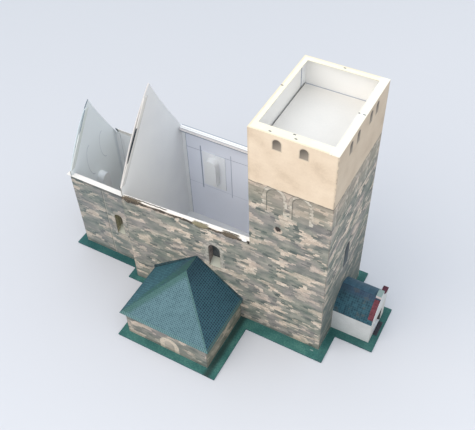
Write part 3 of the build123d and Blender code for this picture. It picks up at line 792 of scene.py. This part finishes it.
def window_card(node_name, outward, opening, back, jambs):
    """A window's recess: dark at its back, stone on its jambs and sill, bare card outside."""
    card = Card(node_name + "_print")
    across = card.across(outward)
    inner = outside_arch(card, across, opening).below(0.25, 0.1) * (1 - card.back(outward))
    sill_share = card.facing_z.above(0.3, 0.1)
    glass = card.ramp(card.patches(across, 3, 5, 1), (0.35, back), (0.75, scaled(back, 2.2)))
    stone = card.ramp(card.mottle(2), (0.35, jambs), (0.65, scaled(jambs, 1.8))).layered(
        ((0.5, 0.49, 0.4), sill_share), (glass, card.printed(outward) * (1 - sill_share))
    )
    card.finish(card.bare().tinted(stone, inner), roughness=0.6)
    card.dress(node_name)


def far_wall_lines(card):
    """Pencil lines inside the nave's far wall: a frame round the east window's patch."""
    middle = far_window.middle
    upper = (card.x - middle) * 0.03 + (ground + 83)
    level = card.z.near(upper, 0.5, 0.4).most(card.z.near(ground + 42.5, 0.45, 0.4) * 0.5)
    lines = [level * card.x.below(middle + 56, 2)]
    tall = card.z.between(ground + 39, ground + 88, 2)
    for across, width, strength in ((middle - 12, 1.1, 1.2), (middle + 17, 0.7, 1)):
        lines.append(card.x.near(across, width, 0.4) * tall * strength)
    yield (0.88, 0.9, 1), 0.8
    yield PENCIL, any_of(lines) * 0.75


def from_near_slope(card, gable, foot):
    """How far a point of a gable lies in from the near slope of its outline."""
    low, high = gable
    half = (near_face + far_face) / 2 - low.y
    return card.y - low.y - (card.z - foot) * (half / (high.z - foot))


def on_slope_edge(card):
    """1 on a gable's cut edges."""
    return card.facing_x.magnitude().below(0.6, 0.2)


def gable_lines(card):
    """Faint loops drawn inside the chancel's gable, and a soft shade along its far corner."""
    middle = (chancel_low.y + chancel_far) / 2
    rings = []
    for across, level, width, tall in ((-4.5, 76, 6, 16), (13.5, 80, 5.5, 14)):
        side = (card.y - (middle + across)) / width
        rise = (card.z - (ground + level)) / tall
        rings.append((side * side + rise * rise).root().near(1, 0.06, 0.06) * side.below(0, 0.5))
    edge = on_slope_edge(card)
    tip = card.z.above(ground + 131, 2) * card.facing_y.below(-0.2, 0.2)
    cool = (0.96, 0.995, 1)
    corner_shade = (0.42, 0.48, 0.56)
    cut_edge = (0.6, 0.66, 0.68)
    dark_tip = (0.06, 0.11, 0.14)
    yield cool, 0.85
    yield PENCIL, any_of(rings) * 0.45
    yield corner_shade, (chancel_far - card.y).near(3, 2.5, 3) * 0.35
    yield cut_edge, edge
    yield dark_tip, edge * tip * 0.9


def chancel_flap_shadow(card):
    """A painted shadow in the gap where the chancel's far flap meets the gable."""
    corner = (card.x - chancel_low.x).below(4, 2) * card.y.above(chancel_far - 12, 1)
    # Painted shadow on the flap's end beside the gable
    yield (0.05, 0.1, 0.12), corner * 0.8


def chancel_strip_edge(card):
    """A dark edge on the upper part of the chancel's folded strip."""
    inward = from_near_slope(card, chancel_gable, chancel_strip_foot)
    upper = card.z.between(ground + 113, ground + 145, 4)
    yield (0.12, 0.19, 0.24), inward.below(0.6, 0.3) * upper * 0.8


def strip_gap(card, inward, widest):
    """1 in the gap between the nave's bowed gable and the straight strip on its near slope, where dark
    shade is painted.
    """
    foot = ground + 123
    head = ground + 146
    rise = ((card.z - foot) / (head - foot)).most(0)
    return (rise.root() * widest - inward).above(0, 0.3) * card.z.between(foot, head, 1)


def gable_warmth(card):
    """A cream tone towards the near fold of the nave's gable, its greyer cut edge, and painted shade in
    the gap beside its strip.
    """
    edge = on_slope_edge(card)
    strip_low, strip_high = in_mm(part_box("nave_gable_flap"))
    lean = (strip_high.y - strip_low.y) / (strip_high.z - strip_low.z)
    before_strip = (card.z - strip_low.z) * lean + strip_low.y - card.y
    gap = strip_gap(card, before_strip.magnitude(), 1)
    cream = (0.97, 0.92, 0.85)
    cut_edge = (0.72, 0.66, 0.61)
    yield cream, ((card.y - nave_low.y) / 60).below(0.7, 1.2) * 0.7
    yield cut_edge, edge
    # Painted shade in the gap between the bowed gable and its strip
    yield GAP_SHADE, gap * (1 - edge)


def nave_strip_edge(card):
    """Painted shade in the gap beside the nave's folded strip, a line along its fold, and a soft painted
    shade at its foot.
    """
    inward = from_near_slope(card, nave_gable, nave_strip_foot)
    foot_shade = (0.45, 0.4, 0.33)
    yield (0.44, 0.46, 0.46), inward.above(4.2, 0.5) * 0.35
    # Painted shade in the gap beside the strip
    yield GAP_SHADE, strip_gap(card, inward, 1.1)
    yield foot_shade, card.z.below(ground + 104, 12) * 0.25


def tower_inside(card):
    """A warmer tone inside the tower's walls."""
    yield (0.95, 0.92, 0.875), 0.8


def along_torn_edge(card, places, blur):
    """1 between each pair of distances from the tower, along the nave's near wall."""
    from_tower = tower_low.x - card.x
    return any_of([from_tower.between(start, end, blur) for start, end in places])


def torn_edge(card, across):
    """The print torn off along the wall's top: the card's brown core, and a painted shadow line under it.
    """
    wander = card.noise(across / 5, 0, 4, 3)
    depth = torn_top - card.z
    bare_depth = (wander - 0.36) * 6 + 0.4 + along_torn_edge(card, [(93, 106)], 8) * 1.8
    core = card.ramp(
        card.patches(across, 1.6, 0.8, 1), (0.42, (0.055, 0.045, 0.035)), (0.6, (0.13, 0.1, 0.07)),
        (0.75, (0.5, 0.4, 0.29))
    )
    corner = (tower_low.x - across).below(1.7, 0.6) * depth.below(2.6, 0.8)
    under_shadow = (0.045, 0.035, 0.03)
    tower_corner = (0.03, 0.025, 0.022)
    # Painted shadow under the lifted torn edge
    yield under_shadow, depth.below(bare_depth + 0.8, 0.3) * 0.8
    yield core, depth.below(bare_depth, 0.2)
    yield tower_corner, corner * 0.9


def torn_flap_marks(card):
    """Stains on the flap behind the torn edge: brown where the ply came off, and a dark crack."""
    wander = (card.noise(card.x / 3, 1, detail=3) - 0.5) * 1.2
    inward = card.y - splayed_face(card.x) + wander
    upper = card.facing_z.above(-0.3, 0.2)
    crack = along_torn_edge(card, [(9, 22), (69, 104)], 3)
    bare = along_torn_edge(card, [(9, 22), (34, 46), (91, 107)], 3)
    warm = (0.94, 0.82, 0.72)
    black = (0.05, 0.045, 0.04)
    brown = (0.2, 0.155, 0.1)
    yield warm, inward.below(1.7, 0.5) * upper * 0.55
    yield black, inward.between(1.5, 2.2, 0.2) * crack * upper * 0.9
    yield brown, inward.below(1.9, 0.3) * bare * upper * 0.9


def low_shade(card, across):
    """The tower's west print, darker towards its foot."""
    yield (0.08, 0.11, 0.1), card.z.below(ground + 62, 80) * 0.7


def olive_tone_and_shade(card, across):
    """The sacristy's west print: browner than its near print, and darker with painted shade."""
    yield (0.17, 0.155, 0.095), 0.45


def cool_tone(card, across):
    """The chancel's print, a little greyer and darker than the tower's."""
    yield (0.15, 0.19, 0.205), 0.28


def eave_shadow(card, across):
    """A thin painted shadow along the top of the chancel's print, under its flap."""
    yield (0.05, 0.06, 0.06), card.z.above(chancel_high.z - 2.4, 0.8) * 0.55


def fold_line(card, across):
    """A pale and a dark upright line beside the chancel's window, where the card was scored."""
    start = chancel_low.x + 30.6
    yield (0.55, 0.5, 0.4), across.near(start + 0.8, 0.9, 0.3) * 0.35
    yield (0.07, 0.08, 0.07), across.near(start, 0.5, 0.3) * 0.8


def brick_arch(card, across):
    """A wide arch of pale bricks printed over a blocked opening, on a slightly browner print."""
    middle = sacristy_low.x + 39
    distance = outside_arch(card, across, Opening(middle, ground, 9, 12))
    band = distance.between(0, 4.2, 0.4)
    angle = calculate(card.tree, "ARCTAN2", card.z - (ground + 7.5), across - middle)
    joint = 1 - (angle * 5).fraction().near(0.5, 0.75, 0.1)
    wear_and_shade = card.patches(across, 2, 2, 8, 3).above(0.36, 0.2)
    brown = (0.22, 0.185, 0.175)
    brick = (0.72, 0.61, 0.48)
    mortar = (0.24, 0.2, 0.17)
    filling = (0.46, 0.4, 0.32)
    yield brown, 0.22
    yield brick, band * wear_and_shade * 0.9
    yield mortar, band * joint * 0.55
    yield filling, distance.below(0, 0.4) * 0.6


def dark_sides(card, strength, facing="facing_x"):
    """The shadowed cut edges of a glue tab."""
    yield PENCIL, getattr(card, facing).magnitude().above(0.5, 0.1) * strength


def eave_lines(card):
    """Fold lines along the nave's far flap, and a painted shadow line along the foot of the part that
    hangs down.
    """
    hanging = card.facing_y.below(-0.5, 0.1)
    lines = [
        card.y.near(far_face - 0.35, 0.9, 0.3),
        card.y.near(far_face - 2.9, 0.5, 0.4) * 0.5,
        # Painted shadow along the foot of the hanging part
        hanging * card.z.below(nave_far_flap_low.z + 0.9, 0.4),
        hanging * card.z.above(nave_far_eave - 0.3, 0.4) * 0.6,
    ]
    yield (0.99, 0.93, 0.91), hanging
    yield (0.16, 0.21, 0.29), any_of(lines) * 0.85


def flap_marks(card):
    """Plaster print at the outer edges of the tower's flaps, a dotted fold line and pencil ticks."""
    outer = from_corner(card.x, tower_low.x, tower_high.x).least(from_corner(card.y, near_face, far_face))
    wear_and_shade = card.noise(card.x / 4, card.y / 4, 1)
    cream_share = card.noise(card.x / 13, card.y / 13, 6).above(0.42, 0.25)
    dots = (card.y / 1.3).fraction().near(0.5, 0.5, 0.2)
    plaster = (0.8, 0.62, 0.4)
    west_white = (0.99, 0.97, 0.86)
    cream = (0.9, 0.8, 0.6)
    ink = (0.05, 0.055, 0.07)
    yield plaster, (outer + wear_and_shade).below(1.5, 0.8) * 0.75
    yield west_white, card.x.above(tower_high.x - 6.5, 1) * 0.6
    yield cream, cream_share * card.x.below(tower_high.x - 4, 4) * 0.45
    yield PENCIL, (tower_high.x - card.x).near(5.1, 0.4, 0.3) * dots * 0.5
    for along, aside in (
        (14.2, 2.4), (28.6, 6.2), (31, 3), (0.9, 45.6), (54.8, 41.8), (58.4, 41.7), (29.4, 80.2)
    ):
        tick = card.x.near(tower_low.x + along, 1.8, 0.3) * card.y.near(near_face + aside, 0.9, 0.3)
        yield ink, tick * 0.9


def platform_lines(card):
    """A dark line where the tower's platform meets the far wall."""
    yield PENCIL, (far_face - card.y).below(1.7, 0.5) * 0.8


def parapet_marks(card):
    """Grey-green print on top of the porch's block, pinkish edges, painted shade low on its west face, and
    painted shade in its doorway.
    """
    block = card.z.above(porch_high.z - 6, 0.5) * card.facing_y.below(-0.5, 0.1)
    low_front = card.facing_x.above(0.5, 0.1) * card.z.below(ground + 22, 14)
    doorway = card.facing_x.magnitude().below(0.5, 0.1) * card.z.below(ground + 17.5, 0.5)
    doorway = doorway * card.y.between(porch_near + 4, porch_far - 4, 0.5)
    top = card.facing_z.above(0.5, 0.1) * card.z.above(porch_high.z - 1, 0.2)
    pink = (0.74, 0.6, 0.57)
    west_foot_shade = (0.5, 0.46, 0.4)
    doorway_shade = (0.055, 0.035, 0.035)
    grey_green = (0.26, 0.34, 0.32)
    yield pink, block * 0.8
    # Painted shade low on the west face
    yield west_foot_shade, low_front * 0.6
    yield doorway_shade, doorway * 0.9
    yield grey_green, top


def ply_mesh(name, start, end, reach, lift, draw):
    """Mesh of a ragged strip of card, curled out over the top of the nave's near wall."""
    steps = 26
    rings = 6
    mesh = bmesh.new()
    rows = []
    for i in range(steps + 1):
        share = i / steps
        along = tower_low.x - (start + (end - start) * share)
        swell = math.sin(math.pi * min(max(share, 0.04), 0.96)) ** 0.6
        depth = reach * swell * draw.uniform(0.62, 1)
        height = torn_top - 0.2 * draw.random()
        row = []
        for j in range(rings + 1):
            bend = j / rings
            away = lift * math.sin(bend * math.pi * 0.62) * swell
            inward = 0.3 + 1.3 * swell * (1 - bend) ** 1.5
            rise = 0.9 * swell * (1 - bend) - depth * bend ** 1.4
            place = Vector((along, splayed_face(along) + inward - away, height + rise))
            row.append(mesh.verts.new(place * MM))
        rows.append(row)
    for left, right in zip(rows, rows[1:]):
        for j in range(rings):
            mesh.faces.new((left[j], right[j], right[j + 1], left[j + 1]))
    mesh.normal_update()
    data = bpy.data.meshes.new(name)
    mesh.to_mesh(data)
    mesh.free()
    return data


def torn_ply(name, start, end, reach, lift, outside, shadow, seed):
    """A piece of the near wall's torn outer ply: white inside, and printed or brown outside.

    Start and end are distances from the tower towards the chancel.
    """
    data = ply_mesh(name, start, end, reach, lift, random.Random(seed))
    piece = add_object(name, data)
    solid = piece.modifiers.new("ply", "SOLIDIFY")
    solid.thickness = 0.25 * MM
    solid.offset = 0
    smooth = piece.modifiers.new("smooth", "SUBSURF")
    smooth.levels = 1
    smooth.render_levels = 1
    card = Card(name + "_paper")
    fibre = card.noise(card.x / 1.4, card.y, card.z / 0.7, 3)
    foot = card.z.below(torn_top - 0.55 * reach, 0.8 * reach)
    shown = card.ramp(fibre, (0.3, scaled(outside, 0.75)), (0.7, outside))
    shown = shown.tinted((0.05, 0.045, 0.035), foot * shadow)
    inside = card.bare(WHITE, scaled(WHITE, 0.85))
    card.finish(inside.tinted(shown, card.printed((0, -1, 0.3))), roughness=0.75)
    data.materials.append(card.material)
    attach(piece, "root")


def torn_plies():
    """What is left of the near wall's torn outer ply, at four places along its top."""
    pale = (0.95, 0.92, 0.88)
    olive = (0.29, 0.25, 0.155)
    brown = (0.15, 0.115, 0.08)
    torn_ply("torn_ply_tower_end", 2.2, 6.4, 1, 0.7, pale, 0, 1)
    torn_ply("torn_ply_west", 9, 23, 2.9, 0.9, brown, 0.8, 2)
    torn_ply("torn_ply_middle", 33, 47, 3.2, 1, olive, 0.7, 3)
    torn_ply("torn_ply_east", 92, 107, 2, 0.5, brown, 0.8, 4)


def dress_tower():
    """The tower's four printed walls, its flaps, platform and tab."""
    west = tower_high.x
    east = tower_low.x
    middle = (east + west) / 2
    across_middle = (near_face + far_face) / 2
    near_print = {
        "openings": [middle - 10, middle + 8], "slot_drop": OPENING_DROP, "slot_size": OPENING_SIZE,
        "arches": [east + 19.3, west - 22], "arch_strength": 1, "sides": (east, west), "grey": 0,
    }
    # On the west and east sides, grey is the share of painted shade on the plaster
    cross_print = {
        "openings": [near_face + across for across in (19.5, 31, 51.5, 62)],
        "slot_drop": SLOT_DROP, "slot_size": SLOT_SIZE,
        "arches": [across_middle + across for across in (-27, -9, 9, 27)],
        "arch_strength": 0.45, "sides": (near_face, far_face), "grey": 0.37,
    }
    near_details = partial(tower_details, tower_print=near_print, hole=west - 37.8)
    far_details = partial(tower_details, tower_print=near_print)
    west_details = partial(tower_details, tower_print=cross_print, west_window=across_middle - 2)
    east_details = partial(tower_details, tower_print=cross_print)
    for node_name, outward, low, high, seed, details in (
        ("tower_near_wall", NEAR, nave_low.x, west, NEAR_SEED, [near_details]),
        ("tower_far_wall", FAR, east, west, 12, [far_details]),
        ("tower_west_wall", WEST, near_face, far_face, 13, [west_details, low_shade]),
        ("tower_east_wall", EAST, near_face, far_face, 14, [east_details]),
    ):
        wall_card(node_name, outward, low, high, seed, tower_top - 1, details, tower_inside)
    bare_card(
        "flap_card", "tower_near_flap", "tower_far_flap", "tower_east_flap", "tower_west_flap",
        pale=(0.93, 0.875, 0.71), shade=(0.87, 0.815, 0.66), marks=flap_marks
    )
    # The platform is white card painted darker, as shade on its upward face inside the tower's top
    bare_card(
        "platform_card", "tower_platform",
        pale=(0.8, 0.765, 0.72), shade=(0.75, 0.72, 0.68), marks=platform_lines
    )
    tab_marks = partial(dark_sides, strength=0.9, facing="facing_y")
    bare_card("tower_tab_card", "tower_corner_tab", marks=tab_marks)


def dress_nave():
    """The nave's walls, gable, window recesses and flaps."""
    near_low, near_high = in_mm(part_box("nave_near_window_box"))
    window = far_window._replace(middle=(near_low.x + near_high.x) / 2)
    surround = partial(stone_surround, opening=window, seed=2)
    far_surround = partial(stone_surround, opening=far_window, seed=2)
    east = nave_low.x
    top = nave_far_eave - 1
    wall_card("nave_near_wall", NEAR, east, tower_high.x, NEAR_SEED, torn_top + 1, [surround, torn_edge])
    wall_card("nave_far_wall", FAR, east, nave_high.x, 22, top, [surround, far_surround], far_wall_lines)
    wall_card("nave_east_gable", EAST, near_face, far_face, 23, top, inside=gable_warmth)
    navy = (0.052, 0.058, 0.058)
    brown = (0.18, 0.15, 0.13)
    window_card("nave_near_window_box", NEAR, window, navy, brown)
    window_card("nave_far_window_box_west", FAR, window, navy, brown)
    window_card("nave_far_window_box_east", FAR, far_window, navy, brown)
    for node_name, pale, shade, marks in (
        ("nave_torn_flap", (0.92, 0.86, 0.79), (0.86, 0.8, 0.73), torn_flap_marks),
        ("nave_gable_flap", (0.86, 0.81, 0.75), (0.8, 0.75, 0.69), nave_strip_edge),
        ("nave_far_patch", (0.96, 0.965, 0.98), (0.91, 0.92, 0.95), partial(dark_sides, strength=0.45)),
        ("nave_corner_tab", WHITE, WHITE_SHADE, partial(dark_sides, strength=0.8)),
        ("nave_far_flap", (0.96, 0.925, 0.88), (0.91, 0.88, 0.84), eave_lines),
    ):
        bare_card(node_name + "_card", node_name, pale=pale, shade=shade, marks=marks)


def dress_chancel():
    """The chancel's walls, gable, window recesses and flaps."""
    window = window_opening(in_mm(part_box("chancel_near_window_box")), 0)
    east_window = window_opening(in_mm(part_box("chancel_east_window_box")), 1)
    surround = partial(stone_surround, opening=window, seed=3)
    east_surround = partial(stone_surround, opening=east_window, seed=3)
    ends = (chancel_low.x, chancel_high.x)
    sides = (chancel_low.y, chancel_far)
    top = chancel_high.z - 1
    near_details = [cool_tone, surround, fold_line, eave_shadow]
    wall_card("chancel_near_wall", NEAR, *ends, 31, top, near_details)
    wall_card("chancel_far_wall", FAR, *ends, 32, top, [cool_tone, surround])
    wall_card("chancel_east_gable", EAST, *sides, 33, top, [cool_tone, east_surround], gable_lines)
    umber = (0.11, 0.095, 0.07)
    olive = (0.27, 0.25, 0.165)
    window_card("chancel_near_window_box", NEAR, window, umber, olive)
    window_card("chancel_far_window_box", FAR, window, umber, olive)
    window_card("chancel_east_window_box", EAST, east_window, umber, olive)
    bare_card(
        "chancel_bare_card", "chancel_near_flap", "chancel_far_flap",
        pale=(0.91, 0.86, 0.8), shade=(0.85, 0.8, 0.75), marks=chancel_flap_shadow
    )
    bare_card("chancel_tab_card", "chancel_corner_tab", marks=partial(dark_sides, strength=0.3))
    bare_card(
        "chancel_strip_card", "chancel_gable_flap",
        pale=(0.84, 0.86, 0.82), shade=(0.76, 0.78, 0.74), marks=chancel_strip_edge
    )


def dress_sacristy():
    """The sacristy's walls and roof."""
    ends = (sacristy_low.x, sacristy_high.x)
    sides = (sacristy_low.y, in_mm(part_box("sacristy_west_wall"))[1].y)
    top = sacristy_high.z - 1
    wall_card("sacristy_near_wall", NEAR, *ends, 41, top, [brick_arch])
    wall_card("sacristy_west_wall", WEST, *sides, 42, top, [olive_tone_and_shade])
    wall_card("sacristy_east_wall", EAST, *sides, 43, top)
    sacristy_roof_card()
    roof_flap_card()


def dress_porch():
    """The porch's walls, roof, copings and doorstep."""
    pale = (0.645, 0.645, 0.625)
    shade = (0.515, 0.515, 0.495)
    bare_card("porch_card", "porch_near_wall", "porch_far_wall", pale=pale, shade=shade)
    bare_card("parapet_card", "porch_parapet", pale=pale, shade=shade, marks=parapet_marks)
    porch_roof_card()
    tile_card("porch_near_coping", (0.1, 0.024, 0.033), (0.2, 0.05, 0.066))
    tile_card("porch_far_coping", (0.045, 0.01, 0.022), (0.12, 0.026, 0.045))
    tile_card("porch_doorstep", (0.018, 0.022, 0.032), (0.044, 0.048, 0.06))


make_camera()
make_light()
make_floor()
dress_tower()
dress_nave()
dress_chancel()
dress_sacristy()
dress_porch()
torn_plies()
grass_card()

bpy.context.scene.view_settings.view_transform = "Standard"
